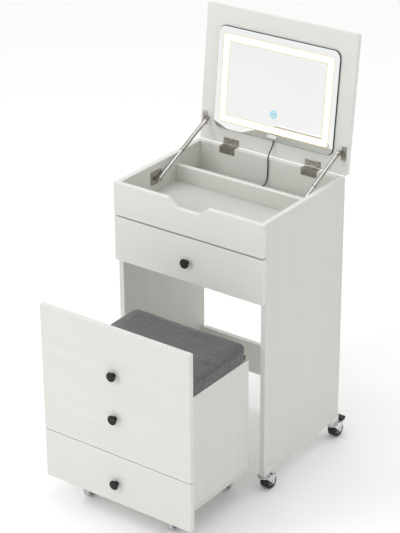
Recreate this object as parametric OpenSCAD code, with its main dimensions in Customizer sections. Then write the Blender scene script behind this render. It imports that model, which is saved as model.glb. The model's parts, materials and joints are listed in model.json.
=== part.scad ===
// Flip-top vanity desk on casters, with a lit mirror in its lid and a rolling storage stool.
// Millimetres, +Z up, the user sits on the -Y side. The origin is on the floor, under the middle
// of the whole piece as it stands open with the stool pulled out.

/* [Desk] */
// Width over the side panels
desk_w = 480; // [440:1:560]
// Depth from the fascia's front face to the back panel's rear face
desk_d = 383; // [360:1:420]
// Height of the side panels' top edge above the floor
desk_top = 795; // [760:1:840]
// Thickness of every main board
board_t = 15; // [15:1:18]
// Height of the side panels' bottom edge above the floor
panel_bottom = 57; // [56:1:60]
// Height of the front fascia
fascia_h = 93; // [85:1:100]
// Width of the finger notch at the fascia's top edge
notch_top_w = 130; // [80:1:160]
// Width of the finger notch at its bottom
notch_bottom_w = 74; // [40:1:78]
// Depth of the finger notch
notch_h = 24; // [15:1:30]
// Height of the rear rail's bottom edge above the floor
rail_bottom = 117.5; // [110:0.5:140]
// Height of the rear rail
rail_h = 95.5; // [60:0.5:110]

/* [Tray] */
// Depth of the tray below the top edge
tray_depth = 80; // [70:1:90]
// Distance from the fascia's front face to the divider's front face
divider_front = 255; // [240:1:270]
// Height of the divider above the tray floor
divider_h = 46; // [30:1:60]

/* [Desk drawer] */
// Height of the desk drawer's front
drawer_front_h = 128; // [110:1:135]
// Gap between the fascia and the drawer front
drawer_gap = 4.5; // [2:0.5:6]
// Thickness of the drawer box boards
box_t = 12; // [10:1:12]

/* [Lid and mirror] */
// Angle between the closed and the open lid
lid_open = 96.14; // [90:0.01:100]
// Gap between the closed lid and the side panels' top edge
lid_gap = 3.6; // [3.4:0.1:4]
// Length of the lid from its hinge edge to its front edge
lid_len = 384; // [370:1:386]
// Mirror width
mirror_w = 390; // [340:1:392]
// Mirror height
mirror_h = 288.5; // [240:0.5:300]
// Distance from the lid's hinge edge to the mirror's lower edge
mirror_s = 43.5; // [40:0.5:60]
// Width of the light band
band_w = 20.5; // [12:0.5:24]
// Distance from the mirror's side edge to the light band
band_side = 18; // [12:0.5:24]
// Distance from the mirror's lower and upper edges to the light band
band_end = 20.5; // [12:0.5:24]

/* [Gas struts] */
// Distance of each strut from the middle plane
strut_x = 215; // [206:0.5:216]
// Distance from the fascia's front face to the lower pivots
strut_low_y = 163; // [150:1:170]
// Depth of the lower pivots below the top edge
strut_low_depth = 44; // [30:1:46]
// Distance from the lid's hinge edge to the upper pivots, along the lid
strut_up_s = 61; // [58:1:64]
// Length of a strut's tube from its upper pivot
tube_len = 130; // [120:0.5:140]
// Length of a strut's rod from its lower pivot
rod_len = 150; // [140:0.5:154]

/* [Stool] */
// How far the stool's front stands out from the fascia's front face
stool_out = 314; // [300:1:400]
// Depth of the stool from its front face to its rear face
stool_d = 284.5; // [270:0.5:300]
// How far the stool's right side is inset from the right edge of its front
stool_inset = 21; // [20:1:30]
// How far the stool's left side is inset from the left edge of its front
stool_left_inset = 93; // [20:1:100]
// Height of the stool front's bottom edge above the floor
stool_bottom = 49.5; // [49.5:0.5:52]
// Height of the stool front's top edge above the floor
stool_front_top = 564.5; // [540:0.5:565]
// Height of the seam between the stool drawer's front and the fixed front
stool_seam = 194.5; // [190:0.5:200]
// Height of the stool sides' top edge above the floor
stool_side_top = 420.3; // [400:0.1:440]
// Height of the stool base board's underside above the floor
stool_base_bottom = 83.5; // [80:0.5:90]
// Thickness of the seat cushion
cushion_t = 39.5; // [35:0.5:45]

/* [Knobs and casters] */
// Diameter of a knob's head
knob_d = 27; // [24:1:32]
// Length of a knob in front of its board
knob_l = 16; // [14:1:28]
// Diameter of a desk caster's wheel
wheel_d = 42; // [38:1:42]
// Width of a desk caster's wheel
wheel_w = 27; // [20:1:27]
// Distance from a caster's swivel axis to its axle
trail = 20; // [16:1:20]
// Diameter of a stool wheel
stool_wheel_d = 40; // [36:1:40]
// Width of a stool wheel
stool_wheel_w = 20; // [16:1:20]

/* [Cord] */
// Diameter of the mirror's lead
cord_d = 3.4; // [3:0.1:3.5]

/* [Hidden] */
$fn = 48;

// clearances
eps = 0.01;           // keeps cut faces apart
fit = 0.05;           // radial clearance of a running fit
slide_gap = 0.5;      // between sliding faces
board_gap = 0.1;      // between the separate boards of one node

// colours
board_color = "gainsboro";
steel_color = "silver";
black = "#1c1c1e";

// desk
half_w = desk_w / 2;
inner_w = desk_w - 2 * board_t;
fascia_bottom = desk_top - fascia_h;
tray_top = desk_top - tray_depth;
drawer_top = fascia_bottom - drawer_gap;
drawer_bottom = drawer_top - drawer_front_h;
back_bottom = drawer_bottom - 9.5;
notch_r = 7;
rail_r = 12;

// lid hinge: the knuckles sit just behind the back panel
hinge_y = desk_d + 3;
hinge_z = desk_top + lid_gap / 2;
edge_y = 1;           // how far the lid's hinge edge reaches behind the hinge axis
knuckle_r = 2.4;
pin_r = 1.2;
leaf_t = 1.2;
leaf_w = 50;
hinge_x = 134;
leaf_len = 19;
knuckle_x = 8;        // half the length of a middle knuckle
knuckle_gap_x = 8.5;  // where the outer knuckles start
groove_r = knuckle_r + 0.4;

// mirror, in layers from the lid's inner face outwards
frame_t = 3;
glass_t = 2;
band_t = 0.6;
mirror_r = 22;
band_out_r = 10;
button_s = 118;
button_r = 11;
outlet_s = 56;
outlet_w = 31;
outlet_h = 9;

// struts, from the lid's shape
strut_off = 8;        // upper pivot's distance from the lid's inner face
strut_low_z = desk_top - strut_low_depth;
pivot_y0 = edge_y - strut_up_s;
pivot_z0 = lid_gap / 2 - strut_off;
strut_up_y = hinge_y + pivot_y0 * cos(lid_open) + pivot_z0 * sin(lid_open);
strut_up_z = hinge_z - pivot_y0 * sin(lid_open) + pivot_z0 * cos(lid_open);
strut_open_len = norm([strut_up_y - strut_low_y, strut_up_z - strut_low_z]);
strut_angle = atan2(strut_up_z - strut_low_z, strut_up_y - strut_low_y);
rod_r = 4;
tube_r = 5.5;
eye_r = 6;
eye_t = 5;

// the whole piece is centred over the origin from the stool's knobs to the open lid's top edge
lid_top_y = hinge_y + (edge_y - lid_len) * cos(lid_open) + (lid_gap / 2 + board_t) * sin(lid_open);
desk_y = (stool_out + knob_l - lid_top_y) / 2;

// desk casters
socket_len = 36;
socket_base = 8;
socket_flange = 15;
socket_t = 2;
caster_x = half_w - board_t / 2;
front_caster_end = 12;    // swivel axes from the side panel's front and rear ends
rear_caster_end = 20;
caster_y = [board_t + front_caster_end, desk_d - rear_caster_end];
stem_r = 4;
race_r = 18;
axle_r = 3;
leg_in = wheel_w / 2 + 1;
leg_t = 2;
leg_out = leg_in + leg_t;
socket_bottom = panel_bottom - socket_base;
crown_bottom = wheel_d + 1;
race_h = socket_bottom - crown_bottom;
pedal_y = 31;
pedal_pin_r = 1.5;
fork_back = pedal_y + 3.4;
pedal_z = 41.5;
pedal_tilt = 8;

// stool
stool_mid = (stool_left_inset - stool_inset) / 2;    // the body's own middle plane
stool_side_x = half_w - (stool_left_inset + stool_inset) / 2;
stool_inner_x = stool_side_x - board_t;
stool_base_top = stool_base_bottom + board_t;
shelf_t = 12;
shelf_bottom = stool_seam - 1.5;
seam_gap = 2;
seat_gap = 2.6;
seat_t = 8;
seat_front = 22;
seat_rear = stool_d - 0.5;
seat_bottom = stool_side_top + seat_gap;
cushion_rear = stool_d - 5.5;
cushion_r = 22;
cushion_edge = 10;
seat_hinge_x = 120;
seat_hinge_y = stool_d + 2.6;
seat_hinge_z = stool_side_top + seat_gap / 2;
seat_leaf_len = 14;
seat_knuckle_r = 2.2;
stool_wheel_x = [-130, 148];
stool_wheel_y = [47, 282];
stool_trail = 14;     // from a fork's plate to its axle
cleat_h = 30;
cleat_d = 60;
cleat_x = [-145, 175];
cleat_y = [17, 224.5];
stool_plate_z = stool_base_bottom - cleat_h;

// drawers
knob_drop = 6;        // of the desk's knob below the middle of its drawer front
stool_knob_drop = 11.5;
runner_w = 11;        // from a drawer box's side to the board beside it
runner_h = 44;
box_h = 100;
box_d = 335;
bottom_t = 5;
drawer_box_z = drawer_bottom + 12;
drawer_half = inner_w / 2 - runner_w - slide_gap;
stool_box_h = 76;
stool_box_d = 236;
stool_box_z = stool_base_top + 5;
stool_box_half = stool_inner_x - runner_w - slide_gap;
stool_runner_z = stool_box_z + 14;

// cord: the free stretch from the mirror's lower edge to the coil, in the desk's own y
cord_x = 4.5;
cord_r = cord_d / 2;
tray_cord_z = tray_top + cord_r + 0.15;
cord_off = cord_r + 0.4;      // the lead's distance from the lid's inner face where it leaves the mirror
exit_y = hinge_y + (edge_y - mirror_s) * cos(lid_open) + (lid_gap / 2 - cord_off) * sin(lid_open);
exit_z = hinge_z - (edge_y - mirror_s) * sin(lid_open) + (lid_gap / 2 - cord_off) * cos(lid_open);
coil_x = -46;
coil_y = 303;
coil_mid_d = 38;      // across the middle of its turns, which lie four wide in two layers
coil_pitch = cord_d + 0.1;
coil_w = 3 * coil_pitch + cord_d;
coil_h = cord_d + coil_pitch + 0.1;
plug_x = -54.5;
plug_y = coil_y - (coil_mid_d + 3 * coil_pitch) / 2;

// ---------- helpers ----------

// children in the desk's own frame, with y measured from the fascia's front face
module at_desk() translate([0, desk_y, 0]) children();

// children in the stool's own frame, with y measured from its front face
module at_stool() translate([0, desk_y - stool_out, 0]) children();

// children about the middle plane of the stool's body
module at_body() at_stool() translate([stool_mid, 0, 0]) children();

// children on the open lid: +Y runs up the lid from its hinge edge, +Z points out of its inner face
module on_lid()
    at_desk() translate([0, hinge_y, hinge_z]) rotate([-lid_open, 0, 0])
        translate([0, edge_y, lid_gap / 2]) rotate([180, 0, 0]) children();

// children on a strut: the lower pivot is the origin and +Y runs along the strut
module on_strut(side)
    at_desk() translate([side * strut_x, strut_low_y, strut_low_z]) rotate([strut_angle, 0, 0]) children();

// a box from one corner to the opposite one
module block(low, high) translate(low) cube(high - low);

// a cylinder along X, from x0 to x1
module rod_x(r, x0, x1) translate([x0, 0, 0]) rotate([0, 90, 0]) cylinder(r = r, h = x1 - x0);

// a rectangle with rounded corners, centred in X and standing on Y = 0
module rounded_rect(w, h, r) {
    translate([r - w / 2, 0]) square([w - 2 * r, h]);
    translate([-w / 2, r]) square([w, h - 2 * r]);
    for (x = [r - w / 2, w / 2 - r], y = [r, h - r]) translate([x, y]) circle(r = r);
}

function arc(cx, cy, r, a0, a1, n = 6) =
    [for (i = [0 : n]) let(a = a0 + (a1 - a0) * i / n) [cx + r * cos(a), cy + r * sin(a)]];

// ---------- desk carcass ----------

module side_panel(side)
    color(board_color) at_desk()
        block([side > 0 ? half_w - board_t : -half_w, board_t, panel_bottom],
              [side > 0 ? half_w : board_t - half_w, desk_d, desk_top]);

module left_side_panel() side_panel(-1);
module right_side_panel() side_panel(1);

// the notch's outline, with rounded bottom corners
function notch_outline() =
    let(slope = atan2(notch_h, (notch_top_w - notch_bottom_w) / 2),
        inset = notch_r * tan(slope / 2),
        x = notch_bottom_w / 2)
    concat([[-notch_top_w / 2, notch_h + 1], [-notch_top_w / 2, notch_h]],
           arc(inset - x, notch_r, notch_r, 270 - slope, 270),
           arc(x - inset, notch_r, notch_r, 270, 270 + slope),
           [[notch_top_w / 2, notch_h], [notch_top_w / 2, notch_h + 1]]);

module front_fascia()
    color(board_color) at_desk() difference() {
        block([-half_w, 0, fascia_bottom], [half_w, board_t, desk_top]);
        translate([0, board_t + 1, desk_top - notch_h]) rotate([90, 0, 0])
            linear_extrude(board_t + 2) polygon(notch_outline());
    }

module back_panel()
    color(board_color) at_desk()
        block([-inner_w / 2, desk_d - board_t, back_bottom], [inner_w / 2, desk_d, desk_top]);

module tray_floor()
    color(board_color) at_desk()
        block([-inner_w / 2, board_t, tray_top - board_t], [inner_w / 2, desk_d - board_t, tray_top]);

module tray_divider()
    color(board_color) at_desk()
        block([-inner_w / 2, divider_front, tray_top],
              [inner_w / 2, divider_front + board_t, tray_top + divider_h]);

module rear_rail()
    color(board_color) at_desk()
        translate([0, desk_d, rail_bottom]) rotate([90, 0, 0]) linear_extrude(board_t) {
            translate([-inner_w / 2, 0]) square([inner_w, rail_h - rail_r]);
            translate([rail_r - inner_w / 2, 0]) square([inner_w - 2 * rail_r, rail_h]);
            for (x = [rail_r - inner_w / 2, inner_w / 2 - rail_r])
                translate([x, rail_h - rail_r]) circle(r = rail_r);
        }

// the fixed half of a drawer runner: a C channel from y0 to y1, open towards the drawer
module channel(side, wall_x, y0, y1, z0) {
    lip = 1.5;
    mirror([side < 0 ? 1 : 0, 0, 0]) difference() {
        block([wall_x - runner_w, y0, z0], [wall_x, y1, z0 + runner_h]);
        block([wall_x - runner_w - 1, y0 - 1, z0 + lip], [wall_x - lip, y1 + 1, z0 + runner_h - lip]);
    }
}

// the moving half of a drawer runner, fixed to the drawer box's side
module runner_bar(side, wall_x, y0, y1, z0) {
    inset = 1.5 + slide_gap;
    mirror([side < 0 ? 1 : 0, 0, 0])
        block([wall_x - runner_w - slide_gap, y0, z0 + inset],
              [wall_x - inset, y1, z0 + runner_h - inset]);
}

module drawer_runners()
    color(steel_color) at_desk()
        for (side = [-1, 1])
            channel(side, inner_w / 2, board_t + 5, desk_d - board_t - 14, drawer_box_z + 20);

module socket(side, end) {
    y0 = end == 0 ? board_t : desk_d - socket_len;
    mirror([side < 0 ? 1 : 0, 0, 0]) difference() {
        block([half_w - board_t - socket_t, y0, socket_bottom],
              [half_w + socket_t, y0 + socket_len, panel_bottom + socket_flange]);
        block([half_w - board_t, y0 - 1, panel_bottom],
              [half_w, y0 + socket_len + 1, panel_bottom + socket_flange + 1]);
        translate([caster_x, caster_y[end], socket_bottom - 1])
            cylinder(r = stem_r, h = socket_base);
    }
}

module caster_sockets()
    color("whitesmoke") at_desk() for (side = [-1, 1], end = [0, 1]) socket(side, end);

// the two outer knuckles of a hinge, around the X axis
module outer_knuckles(r) for (x = [-leaf_w / 2, knuckle_gap_x]) rod_x(r, x, x + leaf_w / 2 - knuckle_gap_x);

// the hinge leaf fixed to the desk: down the back panel's inner face, over its top edge, to the knuckles
module hinge_lower_leaves()
    color(steel_color) at_desk() for (side = [-1, 1]) translate([side * hinge_x, 0, 0]) {
        block([-leaf_w / 2, desk_d - board_t - leaf_t, desk_top - leaf_len],
              [leaf_w / 2, desk_d - board_t, desk_top + leaf_t]);
        block([-leaf_w / 2, desk_d - board_t - leaf_t, desk_top],
              [leaf_w / 2, desk_d - 0.5, desk_top + leaf_t]);
        for (x = [-leaf_w / 2, knuckle_gap_x])
            block([x, desk_d - 1, desk_top], [x + leaf_w / 2 - knuckle_gap_x, hinge_y, desk_top + leaf_t]);
        translate([0, hinge_y, hinge_z]) {
            outer_knuckles(knuckle_r);
            rod_x(pin_r, -leaf_w / 2, leaf_w / 2);
        }
    }

// plate on the desk's inner wall, with the strut's lower pivot
module strut_wall_brackets()
    color(steel_color) at_desk() for (side = [-1, 1]) mirror([side < 0 ? 1 : 0, 0, 0])
        translate([0, strut_low_y, strut_low_z]) {
            plate_t = 2;
            wall = inner_w / 2;
            translate([wall - plate_t, 1, 5]) rotate([90, 0, 90]) linear_extrude(plate_t)
                translate([0, -19]) rounded_rect(47, 38, 4);
            rod_x(5, strut_x + rod_r + 0.5, wall - plate_t + eps);
        }

// a domed screw head that stands on the XY plane, with a cross recess
module screw_head(r = 3.2) difference() {
    union() {
        cylinder(r = r, h = 0.3);
        translate([0, 0, 0.3]) cylinder(r1 = r, r2 = r * 0.6, h = 0.4);
    }
    for (a = [0, 90]) rotate([0, 0, a]) translate([-r * 0.5, -0.35, 0.3]) cube([r, 0.7, 1]);
}

// three screws in a triangle, on each hinge leaf
screw_spots = [[-17, 6], [0, 13], [17, 6]];

module carcass_screws()
    color(steel_color) at_desk() for (side = [-1, 1]) {
        for (p = screw_spots)
            translate([side * hinge_x + p[0], desk_d - board_t - leaf_t, desk_top - p[1]])
                rotate([90, 0, 0]) screw_head();
        for (y = [-17, 19], z = [-9, 19])
            translate([side * (inner_w / 2 - 2), strut_low_y + y, strut_low_z + z])
                rotate([0, -90 * side, 0]) screw_head(2.8);
    }

// ---------- lid ----------

module lid_board()
    color(board_color) on_lid() difference() {
        translate([0, 0, -board_t]) linear_extrude(board_t) rounded_rect(desk_w, lid_len, 4);
        for (side = [-1, 1]) translate([side * hinge_x, edge_y, lid_gap / 2])
            rod_x(groove_r, -leaf_w / 2 - 1, leaf_w / 2 + 1);
    }

module mirror_frame()
    color(black) on_lid() translate([0, mirror_s, 0])
        linear_extrude(frame_t) rounded_rect(mirror_w, mirror_h, mirror_r);

// the light band's outline, as a ring
module band_ring() difference() {
    translate([0, band_end]) rounded_rect(mirror_w - 2 * band_side, mirror_h - 2 * band_end, band_out_r);
    translate([0, band_end + band_w])
        rounded_rect(mirror_w - 2 * (band_side + band_w), mirror_h - 2 * (band_end + band_w), 4);
}

module mirror_glass() {
    rim = 1.5;
    color("lightsteelblue") on_lid() translate([0, mirror_s, frame_t]) difference() {
        translate([0, rim, 0]) linear_extrude(glass_t)
            rounded_rect(mirror_w - 2 * rim, mirror_h - 2 * rim, mirror_r - rim);
        translate([0, 0, glass_t - band_t]) linear_extrude(band_t + 1) band_ring();
    }
}

module led_band()
    color("cornsilk") on_lid() translate([0, mirror_s, frame_t + glass_t - band_t])
        linear_extrude(band_t) band_ring();

module touch_button()
    color("deepskyblue") on_lid() translate([0, button_s, frame_t + glass_t])
        cylinder(r = button_r, h = 0.4);

module mirror_outlet()
    color("white") on_lid() translate([0, outlet_s - outlet_h / 2, frame_t + glass_t])
        linear_extrude(1.2) rounded_rect(outlet_w, outlet_h, outlet_h / 2 - eps);

// the hinge leaf on the lid, with the middle knuckle
module hinge_lid_leaves()
    color(steel_color) on_lid() for (side = [-1, 1]) translate([side * hinge_x, 0, 0]) difference() {
        union() {
            block([-leaf_w / 2, edge_y + knuckle_r + 0.5, 0], [leaf_w / 2, leaf_len, leaf_t]);
            block([-knuckle_x, edge_y, 0], [knuckle_x, edge_y + knuckle_r + 1, leaf_t]);
            translate([0, edge_y, lid_gap / 2]) rod_x(knuckle_r, -knuckle_x, knuckle_x);
        }
        translate([0, edge_y, lid_gap / 2]) rod_x(pin_r + fit, -knuckle_x - 1, knuckle_x + 1);
    }

// plate on the lid, with an ear that carries the strut's upper end
module strut_lid_brackets()
    color(steel_color) on_lid() for (side = [-1, 1]) mirror([side < 0 ? 1 : 0, 0, 0]) {
        ear_x = strut_x + eye_t / 2 + 3;
        translate([ear_x + 7, 41, 0]) linear_extrude(2) rounded_rect(15, 38, 3);
        translate([ear_x, strut_up_s, 0]) rotate([90, 0, 90]) linear_extrude(2) {
            translate([-7, 0]) square([14, strut_off]);
            translate([0, strut_off]) circle(r = 7);
        }
    }

module lid_screws()
    color(steel_color) on_lid() for (side = [-1, 1]) {
        for (p = screw_spots) translate([side * hinge_x + p[0], p[1] + 1.5, leaf_t]) screw_head();
        for (s = [46, 74]) translate([side * (strut_x + 13), s, 2]) screw_head(2.8);
    }

// ---------- gas struts ----------

module strut_rod(side)
    color("gainsboro") on_strut(side) difference() {
        union() {
            rod_x(eye_r, -eye_t / 2, eye_t / 2);
            translate([0, 4, 0]) rotate([-90, 0, 0]) cylinder(r = rod_r, h = rod_len - 4);
        }
        for (x = [-eye_t, eye_t / 2]) block([x, -eye_r, -eye_r], [x + eye_t / 2, eye_r, eye_r]);
    }

module strut_tube(side)
    color("darkgray") on_strut(side) translate([0, strut_open_len, 0]) {
        mouth = 3;
        difference() {
            union() {
                translate([0, -tube_len, 0]) rotate([-90, 0, 0]) {
                    cylinder(r = tube_r + 0.6, h = mouth);
                    cylinder(r = tube_r, h = tube_len - 9);
                }
                translate([0, -9.5, 0]) rotate([-90, 0, 0]) cylinder(r1 = tube_r, r2 = 2.4, h = 6);
            }
            translate([0, -tube_len - 1, 0]) rotate([-90, 0, 0]) cylinder(r = rod_r + fit, h = tube_len - 12);
        }
        rod_x(eye_r, -eye_t / 2, eye_t / 2);
        mirror([side < 0 ? 1 : 0, 0, 0]) rod_x(2.5, 0, eye_t / 2 + 2.6);
        mirror([side < 0 ? 0 : 1, 0, 0]) rod_x(3.6, 0, eye_t / 2 + 1);
    }

module left_strut_rod() strut_rod(-1);
module left_strut_tube() strut_tube(-1);
module right_strut_rod() strut_rod(1);
module right_strut_tube() strut_tube(1);

// ---------- drawers ----------

// side and back boards, with a bottom panel between them, as separate boards
module box_boards(half, y0, depth, z0, height) {
    inner = half - box_t - board_gap;
    back_y = y0 + depth - box_t;
    for (side = [-1, 1]) mirror([side < 0 ? 1 : 0, 0, 0])
        block([half - box_t, y0, z0], [half, y0 + depth, z0 + height]);
    block([-inner, back_y, z0], [inner, y0 + depth, z0 + height]);
    block([-inner, y0, z0], [inner, back_y - board_gap, z0 + bottom_t]);
}

module drawer_front()
    color(board_color) at_desk() block([-half_w, 0, drawer_bottom], [half_w, board_t, drawer_top]);

module drawer_box()
    color("white") at_desk() {
        box_boards(drawer_half, board_t, box_d, drawer_box_z, box_h);
        color(steel_color) for (side = [-1, 1])
            runner_bar(side, inner_w / 2, board_t + 6, board_t + box_d - 20, drawer_box_z + 20);
    }

// a turned knob: the board's face is the XY plane and the knob points along +Z
module knob() {
    head_r = knob_d / 2;
    head_t = 5.5;
    neck_r = 5;
    round_r = 2.2;
    rotate_extrude() polygon(concat(
        [[0, 0], [neck_r + 1.5, 0], [neck_r + 1.5, 1.2], [neck_r, 2.5]],
        [[neck_r, knob_l - head_t - 1.5], [head_r - 4, knob_l - head_t]],
        arc(head_r - round_r, knob_l - head_t + round_r, round_r, -60, 0, 3),
        arc(head_r - round_r, knob_l - round_r - 0.4, round_r, 0, 80, 5),
        [[0, knob_l]]));
}

module knob_at(z) translate([0, 0, z]) rotate([90, 0, 0]) knob();

module drawer_knob() color(black) at_desk() knob_at(drawer_bottom + drawer_front_h / 2 - knob_drop);

// ---------- mirror lead ----------

// the route's points, from the mirror's lower edge down into the rear well
cord_route = [
    [cord_x, exit_y, exit_z], [cord_x, exit_y + 6 * cos(lid_open), exit_z - 6 * sin(lid_open)],
    [cord_x, 384.5, 826], [cord_x, 378, 818], [cord_x, 371, 810.5], [cord_x, 366, 802], [cord_x, 364, 793],
    [4.4, 364.5, 784], [4.2, 365, 775], [4, 365.2, 766], [3.6, 365.2, 757], [3, 365.2, 748],
    [2.2, 365, 739], [1, 364, 730.5], [-1, 360.5, 722.5], [-4, 354.5, tray_cord_z + 0.8],
    [-7.5, 347, tray_cord_z], [-11.5, 339.5, tray_cord_z], [-15, 332, tray_cord_z],
    [-18, 324, tray_cord_z], [-20.2, 316, tray_cord_z], [-21.4, 309, tray_cord_z], [-21.75, 303, tray_cord_z]
];

// rings of an upright tube along a list of points; each ring faces along the route
function along(pts, i) =
    let(a = pts[max(i - 1, 0)], b = pts[min(i + 1, len(pts) - 1)], d = b - a) d / norm(d);
function ring(p, d, r, sides) =
    let(u = cross([1, 0, 0], d), v = u / norm(u), w = cross(d, v))
    [for (k = [0 : sides - 1]) p + r * (cos(360 * k / sides) * w + sin(360 * k / sides) * v)];

module swept_tube(pts, r, sides = 8) {
    n = len(pts);
    last = (n - 1) * sides;
    polyhedron(
        points = [for (i = [0 : n - 1]) each ring(pts[i], along(pts, i), r, sides)],
        faces = concat(
            [[for (k = [0 : sides - 1]) sides - 1 - k]],
            [for (i = [0 : n - 2], k = [0 : sides - 1])
                let(a = i * sides + k, b = i * sides + (k + 1) % sides) [a, b, b + sides, a + sides]],
            [[for (k = [0 : sides - 1]) last + k]]));
}

module mirror_cable() color(black) at_desk() swept_tube(cord_route, cord_r);

module cable_coil()
    color(black) at_desk() translate([coil_x, coil_y, tray_top + 0.1])
        rotate_extrude() translate([(coil_mid_d - coil_w) / 2, 0]) square([coil_w, coil_h]);

// a generic USB plug lying beside the coil, with its short strain relief towards it
module usb_plug() color(black) at_desk() translate([plug_x, plug_y, tray_top + 0.1]) {
    relief = 7;
    body = 22;
    shell = 12;
    body_t = 7.5;
    translate([0, 0, body_t / 2]) rotate([0, -90, 0]) cylinder(r1 = 2.2, r2 = 3.4, h = relief + eps);
    block([-relief - body, -6, 0], [-relief, 6, body_t]);
    color(steel_color) block([-relief - body - shell, -5.5, 1.5], [-relief - body, 5.5, body_t - 1.5]);
}

// ---------- stool ----------

module stool_front_panel()
    color(board_color) at_stool()
        block([-half_w, 0, stool_seam + seam_gap / 2], [half_w, board_t, stool_front_top]);

module stool_sides()
    color(board_color) at_body() for (side = [-1, 1]) mirror([side < 0 ? 1 : 0, 0, 0])
        block([stool_inner_x, board_t, stool_base_top], [stool_side_x, stool_d, stool_side_top]);

module stool_back()
    color(board_color) at_body()
        block([-stool_inner_x, stool_d - board_t, stool_base_top], [stool_inner_x, stool_d, stool_side_top]);

// the base board, and the two cleats under it that carry the casters
module stool_base()
    color(board_color) {
        at_body()
            block([-stool_side_x, board_t, stool_base_bottom], [stool_side_x, stool_d, stool_base_top]);
        at_stool() for (y = cleat_y)
            block([cleat_x[0], y, stool_plate_z],
                  [cleat_x[1], y + cleat_d, stool_base_bottom - board_gap]);
    }

module stool_shelf()
    color(board_color) at_body()
        block([-stool_inner_x, board_t, shelf_bottom],
              [stool_inner_x, stool_d - board_t, shelf_bottom + shelf_t]);

module stool_knobs() color(black) at_stool() for (z = [306, 432.5]) knob_at(z);

module stool_drawer_runners()
    color(steel_color) at_body() for (side = [-1, 1])
        channel(side, stool_inner_x, board_t + 5, stool_d - board_t - 5, stool_runner_z);

// an axle along X through two legs whose outer faces are at +-out, with its round heads
module axle(out) {
    head_t = 1.6;
    rod_x(axle_r, -out - 1, out + 1);
    for (x = [-out - head_t, out]) rod_x(4.5, x, x + head_t);
}

// fixed forks: a top plate, two legs and an axle
module stool_caster_forks() {
    in = stool_wheel_w / 2 + 1;
    t = 2;
    axle_z = stool_wheel_d / 2;
    color(steel_color) at_stool() for (x = stool_wheel_x, y = stool_wheel_y)
        translate([x, y, 0]) {
            block([-15, -stool_trail - 16, stool_plate_z - t], [15, -stool_trail + 16, stool_plate_z]);
            for (x = [-in - t, in]) translate([x, 0, 0]) rotate([90, 0, 90]) linear_extrude(t) {
                polygon([[-stool_trail - 12, stool_plate_z - t / 2], [-5, axle_z - 2], [5, axle_z - 2],
                         [-stool_trail + 16, stool_plate_z - t / 2]]);
                translate([0, axle_z]) circle(r = 6);
            }
            translate([0, 0, axle_z]) axle(in + t);
        }
}

// the lower leaf on the back board's rear face, with the outer knuckles and the pin
module seat_hinge_lower()
    color(steel_color) at_body() for (side = [-1, 1]) translate([side * seat_hinge_x, 0, 0]) {
        block([-leaf_w / 2, stool_d, stool_side_top - 16], [leaf_w / 2, stool_d + 1.1, stool_side_top - 2]);
        for (x = [-leaf_w / 2, knuckle_gap_x])
            block([x, stool_d, stool_side_top - 3],
                  [x + leaf_w / 2 - knuckle_gap_x, seat_hinge_y, stool_side_top + 0.9]);
        translate([0, seat_hinge_y, seat_hinge_z]) {
            outer_knuckles(seat_knuckle_r);
            rod_x(pin_r, -leaf_w / 2, leaf_w / 2);
        }
    }

// ---------- seat ----------

module seat_board()
    color("dimgray") at_body() translate([0, seat_front + 6, seat_bottom]) linear_extrude(seat_t)
        rounded_rect(2 * stool_side_x - 12, seat_rear - seat_front - 6, 8);

// the cushion's plain body: a rounded slab with a bevelled top edge
module seat_cushion() {
    w = 2 * stool_side_x;
    d = cushion_rear - seat_front;
    rise = cushion_t - cushion_edge;
    color("dimgray") at_body() translate([0, seat_front, seat_bottom + seat_t]) {
        linear_extrude(rise) rounded_rect(w, d, cushion_r);
        for (step = [0 : 3]) {
            inset = cushion_edge * (1 - cos(90 * step / 4)) + 0.6 * step;
            translate([0, inset, rise + cushion_edge * sin(90 * step / 4) - eps])
                linear_extrude(cushion_edge * (sin(90 * (step + 1) / 4) - sin(90 * step / 4)) + eps)
                    rounded_rect(w - 2 * inset, d - 2 * inset, cushion_r - inset / 2);
        }
    }
}

module seat_hinge_upper()
    color(steel_color) at_body() for (side = [-1, 1]) translate([side * seat_hinge_x, 0, 0]) difference() {
        union() {
            block([-leaf_w / 2, seat_rear - seat_leaf_len, seat_bottom - 1],
                  [leaf_w / 2, seat_rear, seat_bottom]);
            block([-knuckle_x, seat_rear - 1, seat_bottom - 1], [knuckle_x, seat_hinge_y, seat_bottom]);
            translate([0, seat_hinge_y, seat_hinge_z]) rod_x(seat_knuckle_r, -knuckle_x, knuckle_x);
        }
        translate([0, seat_hinge_y, seat_hinge_z]) rod_x(pin_r + fit, -knuckle_x - 1, knuckle_x + 1);
    }

// ---------- stool drawer ----------

module stool_drawer_front()
    color(board_color) at_stool()
        block([-half_w, 0, stool_bottom], [half_w, board_t, stool_seam - seam_gap / 2]);

module stool_drawer_box()
    color("white") at_body() {
        box_boards(stool_box_half, board_t, stool_box_d, stool_box_z, stool_box_h);
        color(steel_color) for (side = [-1, 1])
            runner_bar(side, stool_inner_x, board_t + 6, board_t + stool_box_d - 10, stool_runner_z);
    }

module stool_drawer_knob() color(black) at_stool() knob_at((stool_bottom + stool_seam) / 2 - stool_knob_drop);

// ---------- casters ----------

// children at a desk caster's swivel axis; end 0 is the front pair
module at_caster(side, end) at_desk() translate([side * caster_x, caster_y[end], 0]) children();

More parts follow.
